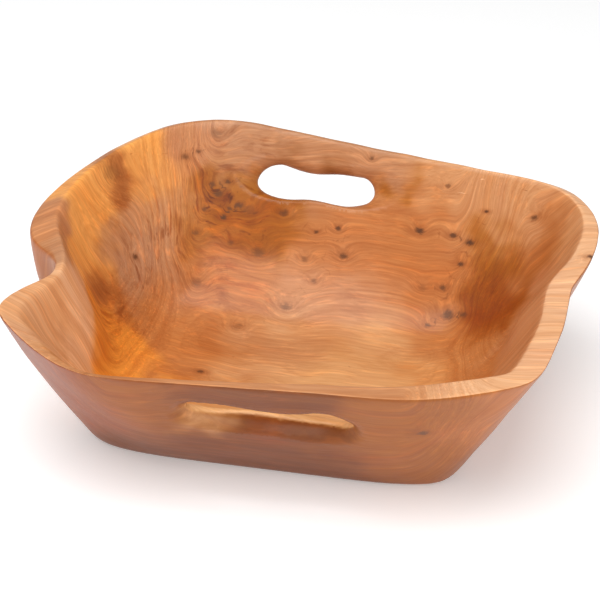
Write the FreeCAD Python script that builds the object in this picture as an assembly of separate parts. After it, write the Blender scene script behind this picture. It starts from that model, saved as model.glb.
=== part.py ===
"""Carved root-wood bowl: one block of wood, hollowed, with a hand slot cut through the front and the back wall.

Frame: millimetres, +Z up, origin at the centre of the outline on the resting face. +Y points from the front hand
slot to the back one, and +X to the right of someone who stands in front of the bowl.

The whole skin is one smooth surface. It follows stations round the rim, and at each station a section runs from the
resting face out and up the outer wall, over the rim, and down the inner wall to the floor of the hollow.
"""
import FreeCAD
import Part
import math
import os
from FreeCAD import Vector

# Stations round the rim, anticlockwise seen from above, from the front left corner. Each holds the outer edge of the
# rim (x, y), its height, the width of the rim's face, how far that face falls from its outer to its inner edge, and
# how far the outer wall swells past a straight line from the rim to the resting face.
STATIONS = [
    (-144, -91, 94, 12, 5, 3),  # front left corner, a sharp point
    (-133, -101, 91, 12, 6, 4),
    (-117, -114, 88, 11, 6, 5),
    (-94, -128, 85, 8, 4, 5),
    (-68, -129, 84, 6, 2, 4),
    (-32, -124, 83, 6, 1, 3),  # front wall
    (4, -122, 83, 8, 0, 3),
    (40, -120, 84, 10, 0, 3),
    (72, -121, 85, 14, 0, 3),
    (98, -114, 86, 15, 0, 3),
    (124, -103, 88, 16, 1, 0),
    (137, -94, 89, 17, 2, -1),  # front right corner
    (141, -72, 91, 16, 2, 1),
    (145, -42, 92, 14, 2, 3),
    (145, -15, 92, 14, 2, 3),
    (145, -4, 93, 14, 2, 4),  # shallow pinch in the right wall
    (153, 14, 96, 13, 2, 6),
    (157, 42, 99, 10, 1, 5),
    (153, 68, 101, 8, -1, 4),
    (137, 92, 102, 8, -4, 3),  # back right corner
    (108, 104, 101, 9, -5, 4),
    (76, 108, 101, 10, -6, 4),
    (36, 118, 102, 10, -6, 4),  # back wall
    (-4, 120, 105, 10, -6, 4),
    (-38, 127, 107, 10, -6, 4),
    (-72, 129, 110, 10, -6, 4),
    (-103, 119, 111, 10, -4, 4),  # back left corner, the highest point
    (-125, 94, 108, 8, -3, 5),
    (-142, 64, 104, 9, -4, 8),
    (-155, 38, 99, 14, -5, 11),
    (-162, 16, 92, 19, -9, 14),  # the lobe above the notch, with a broad face that slopes outward
    (-158, -2, 87, 17, -10, 15),
    (-144, -14, 86, 10, -9, 9),
    (-132, -27, 87, 6, -4, 2),  # the notch in the left wall
    (-130, -40, 87, 5, 0, 0),
    (-135, -54, 90, 7, 2, -2),
    (-142, -70, 92, 9, 3, 0),
]

# Resting face: a squarish outline round its own centre.
BASE_CENTRE = (-6, -5)
BASE_HALF_WIDTH = 103
BASE_HALF_DEPTH = 69
BASE_SQUARENESS = 7

FLOOR_HEIGHT = 14  # thickness of wood under the hollow
LOW_WALL = 16  # thickness of the wall at its foot, measured level
BELLY = 2.5  # how much thicker the wall is half way up than its ends would make it
INNER_SWELL = (1, 5)  # the least and the most that the hollow follows the outer wall's swell
FILLET_TOP = 42  # how high the inner wall starts to curve into the floor
EDGE = 3.5  # how near the poles stand to a rim edge, which sets how tightly it is rounded

# Both hand slots narrow to the same throat half way through the wall: points round it, x along the slot and y up the
# slope of the wall, seen from the hollow. It has a waist, and its ends stand a little higher than its middle.
THROAT = [
    (-36, 0),
    (-33, 5.5),
    (-28, 9),
    (-22, 10.5),
    (-16, 9.5),
    (-10, 8),
    (-2, 7),
    (7, 7.5),
    (16, 8.5),
    (24, 8.5),
    (31, 7.5),
    (35, 3.5),
    (36, -1),
    (34, -5),
    (29, -8),
    (21, -10),
    (13, -10),
    (3, -9),
    (-5, -9),
    (-13, -10),
    (-21, -10),
    (-28, -8.5),
    (-34, -5),
]
MOUTH_DEPTH = 6.5  # from the throat to either face of the wall

# Each mouth against its throat: how many times longer and wider it is, and how far its middle is moved along and up.
INNER_MOUTH = (1.33, 1.3, 4.5, 2.5)
OUTER_MOUTH = (1.15, 1.6, 0, 0.5)

# Each slot: the middle of its throat, the way it runs in plan and its tilt in the wall in degrees, and how many
# times longer its throat is than THROAT.
BACK_SLOT = (Vector(-15, 104.5, 82), -4.5, 0, 1)
FRONT_SLOT = (Vector(3.5, -103, 57.5), 182.5, 3, 1.17)
WALL_LEAN = 28.5  # of both walls, from upright, in degrees


def base_point(x, y, inset=0):
    """The point in the direction of a rim point, on the resting face's outline or on one inset from it."""
    dx, dy = x - BASE_CENTRE[0], y - BASE_CENTRE[1]
    n = BASE_SQUARENESS
    half_width, half_depth = BASE_HALF_WIDTH - inset, BASE_HALF_DEPTH - inset
    reach = (abs(dx / half_width) ** n + abs(dy / half_depth) ** n) ** (-1 / n)
    return Vector(BASE_CENTRE[0] + dx * reach, BASE_CENTRE[1] + dy * reach, 0)


def outward(j):
    """Unit vector square to the rim's outline at station j, pointing out, in plan."""
    before, after = STATIONS[j - 1], STATIONS[(j + 1) % len(STATIONS)]
    along = Vector(after[0] - before[0], after[1] - before[1], 0).normalize()
    return Vector(along.y, -along.x, 0)


def section(j):
    """The poles of one section, from the resting face over the rim to the floor of the hollow."""
    x, y, height, rim, fall, swell = STATIONS[j]
    out = outward(j)
    edge, foot = Vector(x, y, 0), base_point(x, y)
    inner_edge, inner_foot = edge - out * rim, base_point(x, y, LOW_WALL)
    base_middle = Vector(*BASE_CENTRE, 0)
    floor_middle = Vector(*BASE_CENTRE, FLOOR_HEIGHT)

    def outer(share):
        """A point of the outer wall at a share of the rim's height."""
        bulge = swell * math.sin(math.pi * share)
        return foot + (edge - foot) * share + out * bulge + Vector(0, 0, height * share)

    def inner(share):
        """A point of the inner wall at a share of the rim's height."""
        bulge = (min(max(swell, INNER_SWELL[0]), INNER_SWELL[1]) - BELLY) * math.sin(math.pi * share)
        rise = Vector(0, 0, (height - fall) * share)
        return inner_foot + (inner_edge - inner_foot) * share + out * bulge + rise

    def floor(inset, rise):
        """A point of the hollow's floor, at a height above its flat middle."""
        return base_point(x, y, inset) + Vector(0, 0, FLOOR_HEIGHT + rise)

    near = EDGE / height
    bend = FILLET_TOP / height
    across = out * -rim + Vector(0, 0, -fall)
    margin = min(EDGE, rim / 3) / rim
    resting = [base_middle + (foot - base_middle) * share for share in (0.84, 0.93, 0.98)]
    outside = [outer(share) for share in (0.02, 0.10, 0.3, 0.5, 0.7, 0.87, 1 - near)]
    face = [outer(1) + across * share for share in (0, margin, 0.5, 1 - margin, 1)]
    inside = [inner(share) for share in (1 - near * 2, 0.85, 0.7, (0.7 + bend) / 2, bend)]
    low = [floor(LOW_WALL - 12, 15), floor(LOW_WALL - 1, 6), floor(LOW_WALL + 17, 0.7)]
    flat = [floor_middle + (low[-1] - floor_middle) * share for share in (0.8, 0.6)]
    return resting + outside + face + inside + low + flat


def skin():
    """The smooth surface through all sections, clamped at the resting face and the floor, closed round the bowl."""
    columns = [section(j) for j in range(len(STATIONS))]
    rows = [[column[i] for column in columns] for i in range(len(columns[0]))]
    across = len(rows) - 2
    surface = Part.BSplineSurface()
    surface.buildFromPolesMultsKnots(
        rows,
        umults=[4] + [1] * (across - 2) + [4],
        vmults=[1] * (len(columns) + 1),
        uknots=list(range(across)),
        vknots=list(range(len(columns) + 1)),
        uperiodic=False,
        vperiodic=True,
        udegree=3,
        vdegree=3,
    )
    return surface


def blank():
    """The bowl before its slots are cut: the skin, closed by a flat resting face and a flat patch of floor."""
    surface = skin()
    wall = surface.toShape()
    first, last = surface.bounds()[:2]
    rings = [Part.Wire(surface.uIso(u).toShape()) for u in (first, last)]
    shell = Part.makeShell([wall] + [Part.Face(ring) for ring in rings])
    shell.sewShape()
    return Part.Solid(shell)


def slot(middle, heading, tilt, length):
    """The cutter of one hand slot: a trumpet mouth on each face of the wall and a throat between them."""
    rings = []
    for step in (-2, -1, 0, 1, 2):
        longer, wider, along, up = INNER_MOUTH if step > 0 else OUTER_MOUTH
        far = abs(step)
        stretch_x, stretch_y = length * (1 + (longer - 1) * far), 1 + (wider - 1) * far
        points = [
            Vector(x * stretch_x + along * far, y * stretch_y + up * far, step * MOUTH_DEPTH) for x, y in THROAT
        ]
        curve = Part.BSplineCurve()
        curve.interpolate(points, PeriodicFlag=True)
        rings.append(Part.Wire(curve.toShape()))
    cutter = Part.makeLoft(rings, True)
    cutter.rotate(Vector(), Vector(0, 0, 1), tilt)
    cutter.rotate(Vector(), Vector(1, 0, 0), 90 - WALL_LEAN)
    cutter.rotate(Vector(), Vector(0, 0, 1), heading)
    cutter.translate(middle)
    return cutter


def bowl():
    """The finished bowl, moved in plan so that the middle of its outline is at the origin."""
    body = blank()
    for place in (BACK_SLOT, FRONT_SLOT):
        body = body.cut(slot(*place))
    body = body.Solids[0]
    points = body.tessellate(0.1)[0]
    for axis, values in ((Vector(1, 0, 0), [p.x for p in points]), (Vector(0, 1, 0), [p.y for p in points])):
        body.translate(axis * (-(min(values) + max(values)) / 2))
    return body


def main():
    os.makedirs("parts", exist_ok=True)
    shape = bowl()
    shape.exportStep("parts/bowl.step")
    print("bowl", shape.isValid(), round(shape.Volume / 1000), "cm3", shape.BoundBox)


main()
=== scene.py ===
"""Looks of the carved root-wood bowl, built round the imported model.

The bowl is one piece of wood. Its visual mesh is the CAD mesh, refined, evened out and given the slight
waves that a carver's gouge and sandpaper leave. The wood is solid: its grain, tints and knots are worked out
in three dimensions, stored on the mesh as attributes, and drawn by one procedural material. Lengths are in
millimetres, as in the part's source, and become metres where they meet Blender.
"""
import math

import bmesh
import bpy
import numpy as np
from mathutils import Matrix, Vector, noise

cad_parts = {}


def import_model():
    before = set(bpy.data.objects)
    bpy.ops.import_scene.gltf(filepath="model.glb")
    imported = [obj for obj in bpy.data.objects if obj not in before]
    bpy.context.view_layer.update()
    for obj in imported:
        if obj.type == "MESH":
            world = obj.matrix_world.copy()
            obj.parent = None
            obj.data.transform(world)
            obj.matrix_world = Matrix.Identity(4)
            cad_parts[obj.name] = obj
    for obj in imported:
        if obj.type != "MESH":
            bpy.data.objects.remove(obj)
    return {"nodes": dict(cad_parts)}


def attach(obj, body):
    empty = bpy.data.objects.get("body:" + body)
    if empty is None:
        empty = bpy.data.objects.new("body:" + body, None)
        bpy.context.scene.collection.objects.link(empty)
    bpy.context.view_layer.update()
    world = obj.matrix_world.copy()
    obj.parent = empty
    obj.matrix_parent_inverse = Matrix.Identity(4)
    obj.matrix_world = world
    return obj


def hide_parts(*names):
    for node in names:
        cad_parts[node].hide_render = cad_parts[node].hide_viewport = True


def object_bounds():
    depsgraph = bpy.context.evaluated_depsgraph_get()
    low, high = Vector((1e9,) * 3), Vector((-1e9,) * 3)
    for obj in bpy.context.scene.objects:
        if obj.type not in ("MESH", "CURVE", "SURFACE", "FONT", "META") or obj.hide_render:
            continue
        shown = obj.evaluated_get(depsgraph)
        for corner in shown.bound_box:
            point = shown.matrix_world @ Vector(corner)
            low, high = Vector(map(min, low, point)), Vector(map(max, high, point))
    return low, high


MM = 0.001  # one millimetre in Blender's metres

# View: the camera looks at a point inside the bowl from the front, a little right of it, and from above.
VIEW_TARGET = (-3, 15.35, 55)
VIEW_AZIMUTH = 12
VIEW_ELEVATION = 30
VIEW_DISTANCE = 950
LENS = 101.5
SENSOR_WIDTH = 36

# Light: softboxes by their place, aim, width and depth in metres, and power in watts.
OVERHEAD_LIGHT = ((-0.1, -0.45, 1.4), (0, 0, 0.05), 1.2, 1.0, 16.5)
FILL_LIGHT = ((0.3, -1.8, 0.5), (0, 0, 0.05), 1.4, 0.9, 10)
SURROUNDINGS = 0.4  # brightness of the white room
PAPER_GLOW = 0.25  # keeps the floor pale where little light falls

# Skin of the visual bowl.
LONGEST_EDGE = 3.5
EVENING_ROUNDS = 7
# How far each half of a round moves a point, as a share of the way to its neighbours' middle.
PULL, PUSH = 0.5, -0.52
HELD = 0.1  # how much of that a point on a sharp edge moves
SHARP, SMOOTH = 0.86, 0.97  # how well the faces round a point agree, on a sharp edge and on smooth skin
WAVE_HEIGHT = 0.7
WAVE_LENGTH = 45
RIPPLE_HEIGHT = 0.12
RIPPLE_LENGTH = 14
FOOT_HEIGHT = 8  # below this the waves die away, so that the resting face stays flat

# Soft swellings and hollows that the carver left: place, reach, height along the surface's normal. They lie
# inside the bowl, so they fade out where the skin no longer faces inward.
FACING_IN = (-0.2, 0.3)
FORMS = [
    ((128, 5, 65), (18, 40, 16), 2.5),  # a ridge down the inside of the right wall
    ((118, 58, 66), (16, 20, 26), -2.0),  # the crease in the back right corner
    ((-102, 51, 43), (22, 26, 18), 1.6),  # a swelling at the back left
    ((-98, 79, 77), (20, 20, 22), -1.6),
    ((-122, 5, 60), (14, 16, 26), 1.4),  # left wall
    ((-54, 90, 70), (26, 20, 24), 1.2),  # left of the back slot
    ((70, 84, 72), (34, 20, 20), -1.0),
]

# Grain: fibres run along X and turn up the two end walls. Growth rings are round a line below the bowl.
PITH = (30, -70)  # y, z
END_WALL = (72, 122)  # how far from the middle the fibres start to turn up, and where they stand upright
END_RISE = 0.15  # how much of a ring's height still counts there
GRAIN_WARP = 6.5
GRAIN_WARP_LENGTH = 55

# Knots: place, radius, how dark.
KNOTS = [
    ((10, 78, 51), 1.5, 0.8),  # back wall, under the slot
    ((-8, 85, 62), 0.9, 0.8),
    ((5, 86, 65), 1.1, 0.9),
    ((54, 84, 70), 1.7, 1.0),
    ((74, 82, 70), 1.3, 0.9),
    ((84, 79, 68), 1.5, 1.0),
    ((80, 74, 56), 1.2, 0.9),
    ((71, 67, 43), 1.3, 0.7),
    ((59, 68, 41), 1.6, 0.3),
    ((76, 57, 31), 2.4, 0.8),  # right end of the back wall's foot
    ((85, 56, 33), 1.5, 0.7),
    ((65, 53, 25), 1.2, 0.7),
    ((92, 87, 85), 0.8, 1.0),
    ((68, 95, 95), 1.1, 0.6),
    ((120, 79, 88), 1.4, 0.8),
    ((-20, 56, 25), 2.0, 0.6),
    ((-13, 77, 47), 1.4, 0.5),
    ((-6, 68, 38), 1.2, 0.5),
    ((-42, 78, 48), 2.4, 0.55),
    ((-46, 40, 18), 2.0, 0.4),
    ((-65, 86, 65), 1.3, 1.0),  # the knotty patch left of the slot
    ((-70, 93, 77), 1.8, 0.8),
    ((-74, 95, 82), 1.2, 0.7),
    ((-65, 98, 83), 1.0, 0.8),
    ((-57, 92, 71), 1.2, 0.8),
    ((-62, 90, 69), 1.0, 0.7),
    ((-77, 86, 69), 1.0, 0.6),
    ((-50, 91, 69), 2.6, 0.4),
    ((-29, 91, 69), 1.6, 0.7),
    ((-80, 76, 58), 1.3, 0.5),
    ((-59, 79, 52), 1.3, 0.5),
    ((-84, 103, 99), 1.0, 0.7),
    ((-91, 98, 97), 1.5, 0.6),
    ((-75, 111, 108), 2.6, 0.35),
    ((-126, 62, 100), 4.5, 0.4),  # left wall
    ((-110, 48, 53), 1.3, 0.8),
    ((-76, 60, 33), 2.2, 0.45),
    ((21, 106, 103), 0.9, 0.7),
    ((-56, -7, 14), 1.2, 0.8),  # floor
    ((155, 23, 96), 1.2, 0.9),  # right rim
    ((84, -102, 56), 1.6, 0.8),  # outside of the front wall
]

KNOT_DEPTH = 4  # how far off the surface a knot's place may lie

# Each knot's signs, in knot radii from its place.
HEART_END = (2.6, 4)  # where its dark heart starts and finishes fading
STAIN_END = (8, 10)  # the same for the stain round it
KNOT_BORDER = (0.2, 1.2)  # stains fade where two knots are equally near, over this difference
KNOT_FAR = 12  # beyond this there is no sign of it
RING_BEND = 5  # how far the rings bend round it
RING_BEND_REACH = 4.5

# Colours of the wood.
CREAM = (0.98, 0.77, 0.59)
PEACH = (0.92, 0.69, 0.50)
ROSE = (0.76, 0.55, 0.40)
TAN = (0.83, 0.60, 0.41)
GOLD = (0.89, 0.67, 0.45)
AMBER = (0.97, 0.68, 0.36)
ORANGE = (0.95, 0.60, 0.22)
HONEY = (0.78, 0.49, 0.26)
CLAY = (0.80, 0.55, 0.37)
RUSSET = (0.71, 0.42, 0.20)
COPPER = (0.65, 0.36, 0.06)
CHESTNUT = (0.58, 0.26, 0.02)
UMBER = (0.48, 0.24, 0.05)
BARK = (0.62, 0.35, 0.10)

# Tints of the inside: place, reach, colour.
INSIDE_TINTS = [
    ((-54, 113, 105), 30, ROSE),  # back left
    ((-5, 109, 105), 34, ROSE),
    ((-85, 104, 98), 18, CLAY),
    ((-104, 89, 98), 15, AMBER),  # a bright patch in the back left corner
    ((-129, 45, 92), 15, AMBER),  # top of the left wall
    ((-122, 64, 92), 11, RUSSET),
    ((-102, 72, 70), 22, TAN),
    ((-104, 58, 52), 24, ROSE),
    ((-126, 12, 67), 16, AMBER),  # streaks down the left wall
    ((-118, 9, 51), 12, RUSSET),
    ((-122, -28, 78), 14, CREAM),  # painted highlight along the convex ridge at the notch
    ((-116, -45, 62), 16, CREAM),
    ((-125, -62, 82), 16, PEACH),
    ((-98, -20, 26), 20, ORANGE),  # foot of the left wall
    ((-66, 88, 68), 22, COPPER),  # the knotty patch left of the slot
    ((-35, 88, 64), 18, COPPER),
    ((-60, 62, 34), 28, HONEY),
    ((-65, 20, 16), 32, HONEY),  # floor
    ((-20, 30, 15), 34, TAN),
    ((30, 0, 14), 50, GOLD),
    ((80, 30, 20), 20, HONEY),
    ((15, 70, 42), 30, CLAY),  # back wall; the pinker tint at its foot is partly a painted sheen
    ((10, 85, 62), 26, HONEY),
    ((52, 80, 66), 26, HONEY),
    ((62, 60, 36), 20, HONEY),
    ((71, 93, 90), 26, TAN),
    ((105, 90, 94), 22, TAN),
    ((98, 69, 57), 17, COPPER),  # the dark corner: darker wood and painted shade in the back right crease
    ((100, 50, 40), 20, CHESTNUT),
    ((118, 62, 68), 14, RUSSET),
    ((128, 62, 82), 16, RUSSET),
    ((140, 45, 92), 16, TAN),
    ((122, 20, 66), 28, CLAY),  # right wall
    ((118, -25, 60), 24, CLAY),
    ((100, -20, 30), 24, HONEY),
    ((-143, 2, 94), 14, CLAY),  # the lobe's broad face
    # painted reflection: a paler rose tint on the lobe's lower face
    ((-140, -16, 84), 10, ROSE),
    ((-30, 108, 91), 9, UMBER),  # painted shade under the lip of the back slot
    ((0, 108, 91), 9, UMBER),
    ((38, 102, 88), 9, COPPER),
]

# Tints of the outside.
OUTSIDE_TINTS = [
    ((-97, -107, 60), 30, CHESTNUT),  # front left corner
    ((-60, -105, 60), 30, BARK),
    ((-10, -87, 18), 50, UMBER),
    ((72, -95, 39), 30, BARK),
    # painted shadow under the rim, above the front slot
    ((0, -112, 72), 40, UMBER),
    ((80, -105, 68), 30, BARK),
    ((120, -90, 65), 26, RUSSET),
    ((-30, -103, 49), 12, CREAM),  # lower face of the front slot: painted light at its left end, painted shade under the upper lip further right
    ((6, -99, 48), 16, CHESTNUT),
    ((42, -97, 49), 12, UMBER),
    ((-130, 60, 40), 60, RUSSET),
    ((130, 60, 40), 60, RUSSET),
    ((0, 110, 50), 70, COPPER),
]

# Tints of the rim's flat face.
RIM_TINTS = [
    ((148, 0, 92), 50, CREAM),
    ((120, -90, 88), 30, CREAM),
    ((0, -118, 84), 70, CLAY),
    ((-125, -85, 90), 40, PEACH),
]

TINT_BLUR = 14  # how far the edges between tints wander
BLUR_LENGTH = 24
TINT_FALL = 1.5  # how fast a tint's weight falls off past its reach

# The outside's tints lie where the skin faces away from the bowl's axis, and not up.
OUTSIDE_EDGE = (0.1, 0.4)
UP_SHARE = 0.5

# The rim's tints lie where the skin is level and high enough, except at the back left.
RIM_LEVEL = (0.75, 0.92)
RIM_HEIGHT = (76, 82)
RIM_BACK = (20, 70)
RIM_SLANT = 0.8
RIM_COVER = 0.85  # how much of the other tints they hide

PATCH_EDGE = (0.3, 1.2)  # where a patch starts and finishes fading, as shares of its reach

# Patches where the grain is curled and mottled: place, reach, strength.
BURLS = [
    ((-70, 88, 72), 40, 1.0),
    ((-105, 60, 60), 40, 1.0),
    ((-60, 105, 100), 40, 0.6),
    ((-115, 0, 45), 40, 0.7),
    ((-60, 60, 35), 40, 0.6),
    ((95, 66, 52), 26, 0.45),
    ((20, 66, 38), 30, 0.3),
]

# Patches strewn with birds' eyes: place, reach, strength.
BIRDS_EYES = [
    ((-66, 90, 72), 20, 1.0),
    ((-86, 98, 94), 16, 0.7),
    ((-42, 84, 58), 16, 0.7),
    ((-60, 66, 40), 20, 0.4),
]

# What the figure multiplies the wood's colour by, as linear colours.
HONEY_CLOUD = (1.0, 0.86, 0.66, 1)
ROSE_CLOUD = (0.93, 0.86, 0.90, 1)
DARK_RING = (0.70, 0.52, 0.36, 1)
DARK_FIBRE = (0.72, 0.56, 0.42, 1)
LIGHT_FIBRE = (1.35, 1.3, 1.2, 1)
BROWN_BLOTCH = (0.60, 0.40, 0.27, 1)
MAUVE_BLOTCH = (0.80, 0.74, 0.80, 1)
BRIGHT_BLOTCH = (1.45, 1.3, 1.1, 1)
FLECK = (0.42, 0.24, 0.14, 1)
KNOT_STAIN = (0.55, 0.36, 0.22, 1)

KNOT_HEART = (0.11, 0.035, 0.012, 1)  # a colour of its own


def camera():
    """The camera, aimed at the middle of the view."""
    data = bpy.data.cameras.new("view")
    data.lens = LENS
    data.sensor_width = SENSOR_WIDTH
    data.clip_start = 0.05
    data.clip_end = 20
    eye = bpy.data.objects.new("view", data)
    bpy.context.scene.collection.objects.link(eye)
    azimuth, elevation = math.radians(VIEW_AZIMUTH), math.radians(VIEW_ELEVATION)
    level = math.cos(elevation)
    back = Vector((math.sin(azimuth) * level, -math.cos(azimuth) * level, math.sin(elevation)))
    eye.location = (Vector(VIEW_TARGET) + back * VIEW_DISTANCE) * MM
    eye.rotation_mode = "QUATERNION"
    eye.rotation_quaternion = (-back).to_track_quat("-Z", "Y")
    bpy.context.scene.camera = eye


def softbox(name, place, aim, width, depth, watts):
    """A rectangular area light in metres, turned towards a point."""
    data = bpy.data.lights.new(name, "AREA")
    data.shape = "RECTANGLE"
    data.size, data.size_y = width, depth
    data.energy = watts
    lamp = bpy.data.objects.new(name, data)
    bpy.context.scene.collection.objects.link(lamp)
    lamp.location = place
    lamp.rotation_mode = "QUATERNION"
    lamp.rotation_quaternion = (Vector(aim) - Vector(place)).to_track_quat("-Z", "Y")


def studio():
    """A white room: a pale floor that runs out of sight, a large softbox above and a fill in front."""
    world = bpy.data.worlds.new("studio")
    world.use_nodes = True
    background = world.node_tree.nodes["Background"]
    background.inputs["Color"].default_value = (1, 1, 1, 1)
    background.inputs["Strength"].default_value = SURROUNDINGS
    bpy.context.scene.world = world
    bpy.context.scene.view_settings.view_transform = "Standard"

    softbox("overhead", *OVERHEAD_LIGHT)
    softbox("fill", *FILL_LIGHT)

    bpy.ops.mesh.primitive_plane_add(size=12)
    floor = bpy.context.object
    floor.name = "floor"
    paper = bpy.data.materials.new("paper")
    paper.use_nodes = True
    shader = paper.node_tree.nodes["Principled BSDF"]
    shader.inputs["Base Color"].default_value = (0.95, 0.95, 0.95, 1)
    shader.inputs["Roughness"].default_value = 0.9
    shader.inputs["Emission Color"].default_value = (1, 1, 1, 1)
    shader.inputs["Emission Strength"].default_value = PAPER_GLOW
    floor.data.materials.append(paper)


def smoothstep(low, high, value):
    """From nought at the low value to one at the high value, with a soft start and end."""
    share = np.clip((value - low) / (high - low), 0, 1)
    return share * share * (3 - 2 * share)


def noise_at(points, length, seed, octaves=3):
    """Fractal noise about zero at each point, whose waves are about that long."""
    shift = Vector((seed * 17.3, seed * 5.1, seed * 9.7))
    return np.array([noise.fractal(Vector(p) / length + shift, 1.0, 2.0, octaves) for p in points])


def read(mesh, field):
    """The positions or normals of a mesh's vertices."""
    flat = np.empty(len(mesh.vertices) * 3, np.float32)
    mesh.vertices.foreach_get(field, flat)
    return flat.reshape(-1, 3).astype(float)


def refined(points, faces):
    """A triangle mesh whose long edges are split at their middles until none is longer than the limit.

    Each triangle is turned so that its corners are a, b, c with its split sides first, and is cut according
    to how many of its sides are split. Neighbours share the same middles, so the skin stays closed.
    """
    while True:
        sides = np.sort(np.stack([faces, np.roll(faces, -1, 1)], 2), 2).reshape(-1, 2)
        edges, side_edge = np.unique(sides, axis=0, return_inverse=True)
        long = np.linalg.norm(points[edges[:, 0]] - points[edges[:, 1]], axis=1) > LONGEST_EDGE
        if not long.any():
            return points, faces
        middle = np.where(long, len(points) + np.cumsum(long) - 1, -1)[side_edge].reshape(-1, 3)
        points = np.concatenate([points, points[edges[long]].mean(1)])
        split = middle >= 0
        count = split.sum(1)
        turn = np.where(count == 2, np.argmin(middle, axis=1) + 1, np.argmax(split, axis=1))
        order = (np.arange(3) + turn[:, None]) % 3
        a, b, c = np.take_along_axis(faces, order, 1).T
        ab, bc, ca = np.take_along_axis(middle, order, 1).T
        pieces = [faces[count == 0]]
        for splits, triangles in (
            (1, ((a, ab, c), (ab, b, c))),
            (2, ((ab, b, bc), (a, ab, bc), (a, bc, c))),
            (3, ((a, ab, ca), (ab, b, bc), (ca, bc, c), (ab, bc, ca))),
        ):
            pieces += [np.stack(triangle, 1)[count == splits] for triangle in triangles]
        faces = np.concatenate(pieces)


def evened(points, faces):
    """Evens out the skin without shrinking it: each round pulls every point in, then pushes it back out.

    Points on the sharp edges of the slots stay nearly where they are.
    """
    count = len(points)

    def summed(at, vectors):
        """The sum of the vectors that belong to each point."""
        return np.stack([np.bincount(at, vectors[:, axis], count) for axis in range(3)], 1)

    corners = faces.ravel()
    onward = np.roll(faces, -1, 1).ravel()
    start, end = np.concatenate([corners, onward]), np.concatenate([onward, corners])
    first, second, third = (points[faces[:, i]] for i in range(3))
    facing = np.cross(second - first, third - first)
    facing /= np.linalg.norm(facing, axis=1)[:, None] + 1e-12
    fan = np.bincount(corners, minlength=count)[:, None]
    agreement = np.linalg.norm(summed(corners, np.repeat(facing, 3, axis=0)) / fan, axis=1)
    loose = HELD + (1 - HELD) * smoothstep(SHARP, SMOOTH, agreement)[:, None]
    neighbours = np.bincount(start, minlength=count)[:, None]
    for strength in (PULL, PUSH) * EVENING_ROUNDS:
        points = points + (summed(start, points[end]) / neighbours - points) * strength * loose
    return points


def carved(points, out):
    """The points moved along their normals by the carver's forms and waves."""
    wave = noise_at(points, WAVE_LENGTH, 1, 2) * WAVE_HEIGHT
    wave += noise_at(points, RIPPLE_LENGTH, 8, 2) * RIPPLE_HEIGHT
    for place, reach, height in FORMS:
        far = (points - np.array(place)) / np.array(reach)
        inward = smoothstep(*FACING_IN, -(out * np.array(place)).sum(1) / np.linalg.norm(place))
        wave += height * np.exp(-(far * far).sum(1)) * inward
    wave *= smoothstep(0, FOOT_HEIGHT, points[:, 2])
    return points + out * wave[:, None]


def carved_bowl(node, box):
    """The visual bowl: the CAD mesh refined, evened out and carved, inside the CAD box."""
    source = bmesh.new()
    source.from_mesh(node.data)
    bmesh.ops.remove_doubles(source, verts=source.verts, dist=0.01 * MM)
    bmesh.ops.triangulate(source, faces=source.faces)
    points = np.array([vertex.co for vertex in source.verts]) / MM
    faces = np.array([[vertex.index for vertex in face.verts] for face in source.faces])
    source.free()

    points, faces = refined(points, faces)
    mesh = bpy.data.meshes.new("carved_bowl")
    mesh.from_pydata(evened(points, faces) * MM, [], faces.tolist())
    points = carved(read(mesh, "co") / MM, read(mesh, "normal"))
    points = np.clip(points, np.array(box[0]) / MM, np.array(box[1]) / MM)
    mesh.vertices.foreach_set("co", (points * MM).astype(np.float32).ravel())
    mesh.polygons.foreach_set("use_smooth", [True] * len(mesh.polygons))
    mesh.update()
    bowl = bpy.data.objects.new("carved_bowl", mesh)
    bpy.context.scene.collection.objects.link(bowl)
    return bowl


def store(mesh, name, kind, values):
    """Keeps a value for each vertex of the mesh, under a name."""
    attribute = mesh.attributes.new(name, kind, "POINT")
    field = {"FLOAT": "value", "FLOAT_VECTOR": "vector", "FLOAT_COLOR": "color"}[kind]
    attribute.data.foreach_set(field, np.asarray(values, np.float32).ravel())


def knot_fields(points, out):
    """At each point: the offset from its nearest knot in knot radii, how dark the knot's heart and its stain
    may be there, and how far the rings bend round it. A knot is measured along the surface.
    """
    nearest = np.full(len(points), np.inf)
    second = nearest.copy()
    offset = np.zeros((len(points), 3))
    darkness = np.zeros(len(points))
    bend = np.zeros(len(points))
    for place, radius, dark in KNOTS:
        apart = points - np.array(place)
        depth = (apart * out).sum(1)
        apart = (apart - out * np.clip(depth, -KNOT_DEPTH, KNOT_DEPTH)[:, None]) / radius
        far = np.linalg.norm(apart, axis=1)
        closer = far < nearest
        second = np.where(closer, nearest, np.minimum(second, far))
        nearest = np.where(closer, far, nearest)
        offset = np.where(closer[:, None], apart, offset)
        darkness = np.where(closer, dark, darkness)
        bend += RING_BEND * radius * np.exp(-((far / RING_BEND_REACH) ** 2))
    stain = darkness * smoothstep(*KNOT_BORDER, second - nearest) * (1 - smoothstep(*STAIN_END, nearest))
    heart = darkness * (1 - smoothstep(*HEART_END, nearest))
    return np.clip(offset, -KNOT_FAR, KNOT_FAR), heart, stain, bend


def patches(points, places):
    """How strongly each point lies in any of the patches, from nought to one."""
    strength = np.zeros(len(points))
    for place, reach, most in places:
        far = np.linalg.norm(points - np.array(place), axis=1) / reach
        strength = np.maximum(strength, most * (1 - smoothstep(*PATCH_EDGE, far)))
    return strength


def blended(points, tints):
    """The tints blended at each point, the nearest weighing most. Even far off, each keeps some weight."""
    total = np.full(len(points), 1e-12)
    colour = np.zeros((len(points), 3))
    for place, reach, tint in tints:
        far = np.linalg.norm(points - np.array(place), axis=1) / reach
        weight = np.exp(-TINT_FALL * far * far) + 1e-6 / (1 + far)
        total += weight
        colour += weight[:, None] * np.array(tint)
    return colour / total[:, None]


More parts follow.
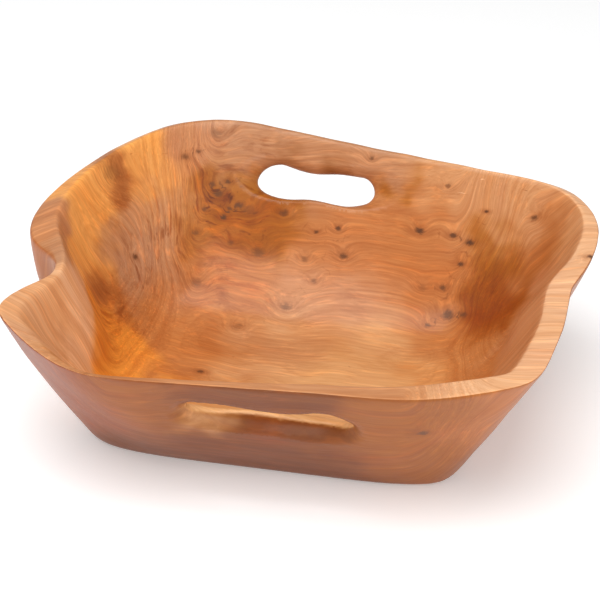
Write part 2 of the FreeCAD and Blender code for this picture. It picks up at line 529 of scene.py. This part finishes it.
def linear(colour):
    """Colours as a screen shows them, made linear by the sRGB formula."""
    return np.where(colour <= 0.04045, colour / 12.92, ((colour + 0.055) / 1.055) ** 2.4)


def tinted(points, out):
    """The wood's colour at each point, linear, with painted shade and light in a few places."""
    blur = np.stack([noise_at(points, BLUR_LENGTH, seed) for seed in (5, 6, 7)], 1) * TINT_BLUR
    radial = points[:, :2] / np.linalg.norm(points[:, :2] + 1e-6, axis=1)[:, None]
    outward = (radial * out[:, :2]).sum(1) - UP_SHARE * out[:, 2]
    outside = smoothstep(*OUTSIDE_EDGE, outward)[:, None]
    colour = blended(points + blur, INSIDE_TINTS) * (1 - outside)
    colour += blended(points + blur, OUTSIDE_TINTS) * outside
    rim = smoothstep(*RIM_LEVEL, out[:, 2]) * smoothstep(*RIM_HEIGHT, points[:, 2])
    rim *= 1 - smoothstep(*RIM_BACK, points[:, 1] - points[:, 0] * RIM_SLANT)
    colour += (blended(points + blur, RIM_TINTS) - colour) * (rim * RIM_COVER)[:, None]
    return linear(colour)


def paint(mesh):
    """Stores the solid wood's fields on the mesh."""
    points, out = read(mesh, "co") / MM, read(mesh, "normal")
    offset, heart, stain, bend = knot_fields(points, out)
    warp = np.stack([noise_at(points, GRAIN_WARP_LENGTH, seed, 2) for seed in (2, 3, 4)], 1) * GRAIN_WARP
    bent = points + warp
    level = 1 - smoothstep(*END_WALL, np.abs(bent[:, 0]))
    height = (bent[:, 2] - PITH[1]) * (END_RISE + (1 - END_RISE) * level)
    ring = np.hypot(bent[:, 1] - PITH[0], height) + bend
    white = np.ones((len(points), 1))
    store(mesh, "grain", "FLOAT_VECTOR", np.stack([bent[:, 0], ring, bent[:, 1]], 1))
    store(mesh, "knot_offset", "FLOAT_VECTOR", offset)
    store(mesh, "knot_heart", "FLOAT", heart)
    store(mesh, "knot_stain", "FLOAT", stain)
    store(mesh, "burl", "FLOAT", patches(bent, BURLS))
    store(mesh, "birds_eye", "FLOAT", patches(bent, BIRDS_EYES))
    store(mesh, "tint", "FLOAT_COLOR", np.concatenate([tinted(points, out), white], 1))


class Nodes:
    """A small helper that adds nodes to a material and links them by socket."""

    def __init__(self, material):
        material.use_nodes = True
        self.tree = material.node_tree
        self.shader = self.tree.nodes["Principled BSDF"]

    def put(self, socket, value):
        """Links an output to an input, or sets the input to a plain value."""
        if isinstance(value, bpy.types.NodeSocket):
            self.tree.links.new(value, socket)
        else:
            socket.default_value = value

    def add(self, kind, inputs=None, **settings):
        """A new node with its settings and inputs."""
        node = self.tree.nodes.new(kind)
        for key, value in settings.items():
            setattr(node, key, value)
        for key, value in (inputs or {}).items():
            self.put(node.inputs[key], value)
        return node

    def attribute(self, name, output):
        """What paint() stored on the mesh under a name."""
        return self.add("ShaderNodeAttribute", attribute_name=name).outputs[output]

    def vector(self, operation, first, second):
        node = self.add("ShaderNodeVectorMath", {0: first, 1: second}, operation=operation)
        return node.outputs["Vector"]

    def length(self, vector):
        return self.add("ShaderNodeVectorMath", {0: vector}, operation="LENGTH").outputs["Value"]

    def noise(self, vector, stretch, detail, roughness=0.5, distortion=0.0, output="Fac"):
        """Fractal noise. The stretch is how many waves it has per millimetre along each axis."""
        place = self.vector("MULTIPLY", vector, stretch)
        inputs = {"Vector": place, "Scale": 1.0, "Detail": detail, "Roughness": roughness}
        inputs["Distortion"] = distortion
        return self.add("ShaderNodeTexNoise", inputs).outputs[output]

    def math(self, operation, first, second=0.0):
        return self.add("ShaderNodeMath", {0: first, 1: second}, operation=operation).outputs[0]

    def span(self, value, from_low, from_high, to_low=0.0, to_high=1.0):
        """A value's place between two limits, carried over to two others and held there."""
        inputs = {"Value": value, "From Min": from_low, "From Max": from_high}
        inputs.update({"To Min": to_low, "To Max": to_high})
        return self.add("ShaderNodeMapRange", inputs).outputs["Result"]

    def mix(self, share, first, second, blend="MIX"):
        """Two colours blended, by how much of the second."""
        node = self.add("ShaderNodeMix", data_type="RGBA", blend_type=blend)
        for key, value in ((0, share), (6, first), (7, second)):
            self.put(node.inputs[key], value)
        return node.outputs[2]


def clouded(nodes, colour, grain):
    """Broad, faint changes of hue, between honey and rose."""
    cloud = nodes.noise(grain, (0.02, 0.035, 0.035), 3, 0.55)
    colour = nodes.mix(nodes.span(cloud, 0.5, 0.7, 0, 0.6), colour, HONEY_CLOUD, "MULTIPLY")
    return nodes.mix(nodes.span(cloud, 0.3, 0.5, 0.5, 0), colour, ROSE_CLOUD, "MULTIPLY")


def ringed(nodes, colour, grain):
    """Growth rings: wavering darker bands and a few fine lines."""
    wobble = nodes.noise(grain, (0.010, 0.04, 0.02), 2)
    ring = nodes.add("ShaderNodeSeparateXYZ", {0: grain}).outputs[1]
    place = nodes.math("ADD", nodes.math("MULTIPLY", ring, 0.16), nodes.math("MULTIPLY", wobble, 1.6))
    inputs = {"W": place, "Scale": 1.0, "Detail": 5.0, "Roughness": 0.68}
    band = nodes.add("ShaderNodeTexNoise", inputs, noise_dimensions="1D").outputs["Fac"]
    return nodes.mix(nodes.span(band, 0.34, 0.62, 0.5, 0), colour, DARK_RING, "MULTIPLY")


def fibred(nodes, colour, grain):
    """Long, fine fibres, darker and lighter than the wood between them."""
    dark = nodes.noise(grain, (0.03, 0.7, 0.7), 4, 0.6)
    light = nodes.noise(grain, (0.025, 0.35, 0.35), 4, 0.6)
    colour = nodes.mix(nodes.span(dark, 0.35, 0.6, 0.4, 0), colour, DARK_FIBRE, "MULTIPLY")
    return nodes.mix(nodes.span(light, 0.52, 0.72, 0, 0.8), colour, LIGHT_FIBRE, "MULTIPLY")


def mottled(nodes, colour, grain):
    """Curled grain in the burls: swirled blotches of brown, mauve and orange."""
    burl = nodes.attribute("burl", "Fac")
    brown = nodes.noise(grain, (0.06, 0.11, 0.11), 4, 0.55, 0.7)
    mauve = nodes.noise(nodes.vector("ADD", grain, (90, 40, 10)), (0.05, 0.08, 0.08), 3, 0.55, 0.6)
    bright = nodes.noise(nodes.vector("ADD", grain, (10, 70, 50)), (0.05, 0.11, 0.11), 3, 0.5, 0.7)
    for value, low, high, most, tone in (
        (brown, 0.51, 0.66, 0.95, BROWN_BLOTCH),
        (mauve, 0.52, 0.70, 0.70, MAUVE_BLOTCH),
        (bright, 0.54, 0.70, 0.8, BRIGHT_BLOTCH),
    ):
        share = nodes.math("MULTIPLY", nodes.span(value, low, high, 0, most), burl)
        colour = nodes.mix(share, colour, tone, "MULTIPLY")
    return colour


def flecked(nodes, colour, grain):
    """Birds' eyes: many small dark dashes, dense in a few patches."""
    amount = nodes.attribute("birds_eye", "Fac")
    spot = nodes.noise(grain, (0.16, 0.3, 0.3), 2, 0.5)
    share = nodes.math("MULTIPLY", nodes.span(spot, 0.60, 0.70, 0, 0.9), amount)
    return nodes.mix(share, colour, FLECK, "MULTIPLY")


def knotted(nodes, colour, grain):
    """Knots: a ragged dark heart and a brown stain that trails along the grain."""
    offset = nodes.attribute("knot_offset", "Vector")
    ragged = nodes.noise(grain, (0.35, 0.6, 0.6), 3, 0.6, 0.0, "Color")
    ragged = nodes.vector("MULTIPLY", nodes.vector("SUBTRACT", ragged, (0.5, 0.5, 0.5)), (2.4, 2.4, 2.4))
    torn = nodes.vector("ADD", offset, ragged)
    heart = nodes.span(nodes.length(nodes.vector("MULTIPLY", torn, (0.75, 1, 1))), 0.6, 1.6, 1, 0)
    stain = nodes.span(nodes.length(nodes.vector("MULTIPLY", torn, (0.32, 0.8, 0.8))), 0.2, 2.4, 0.65, 0)
    stain = nodes.math("MULTIPLY", stain, nodes.attribute("knot_stain", "Fac"))
    heart = nodes.math("MULTIPLY", heart, nodes.attribute("knot_heart", "Fac"))
    colour = nodes.mix(stain, colour, KNOT_STAIN, "MULTIPLY")
    return nodes.mix(heart, colour, KNOT_HEART)


def root_wood():
    """Satin-lacquered root wood."""
    material = bpy.data.materials.new("root_wood")
    nodes = Nodes(material)
    grain = nodes.attribute("grain", "Vector")
    colour = nodes.attribute("tint", "Color")
    for layer in (clouded, ringed, fibred, mottled, flecked, knotted):
        colour = layer(nodes, colour, grain)

    shader = nodes.shader
    fibre = nodes.noise(grain, (0.05, 0.9, 0.9), 3, 0.6)
    nodes.put(shader.inputs["Base Color"], colour)
    nodes.put(shader.inputs["Roughness"], nodes.span(fibre, 0.3, 0.7, 0.42, 0.5))
    shader.inputs["Specular IOR Level"].default_value = 0.3
    shader.inputs["Specular Tint"].default_value = (1.0, 0.8, 0.55, 1)
    shader.inputs["Coat Weight"].default_value = 0.3
    shader.inputs["Coat Roughness"].default_value = 0.24
    bump = nodes.add("ShaderNodeBump", {"Height": fibre, "Strength": 0.3, "Distance": 0.1 * MM})
    nodes.put(shader.inputs["Normal"], bump.outputs["Normal"])
    return material


def main():
    """Sets up the view and the room, and builds the bowl inside the CAD model's box."""
    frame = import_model()
    cad_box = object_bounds()
    camera()
    studio()

    bowl = carved_bowl(frame["nodes"]["bowl"], cad_box)
    paint(bowl.data)
    bowl.data.materials.append(root_wood())
    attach(bowl, "root")
    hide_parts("bowl")


main()
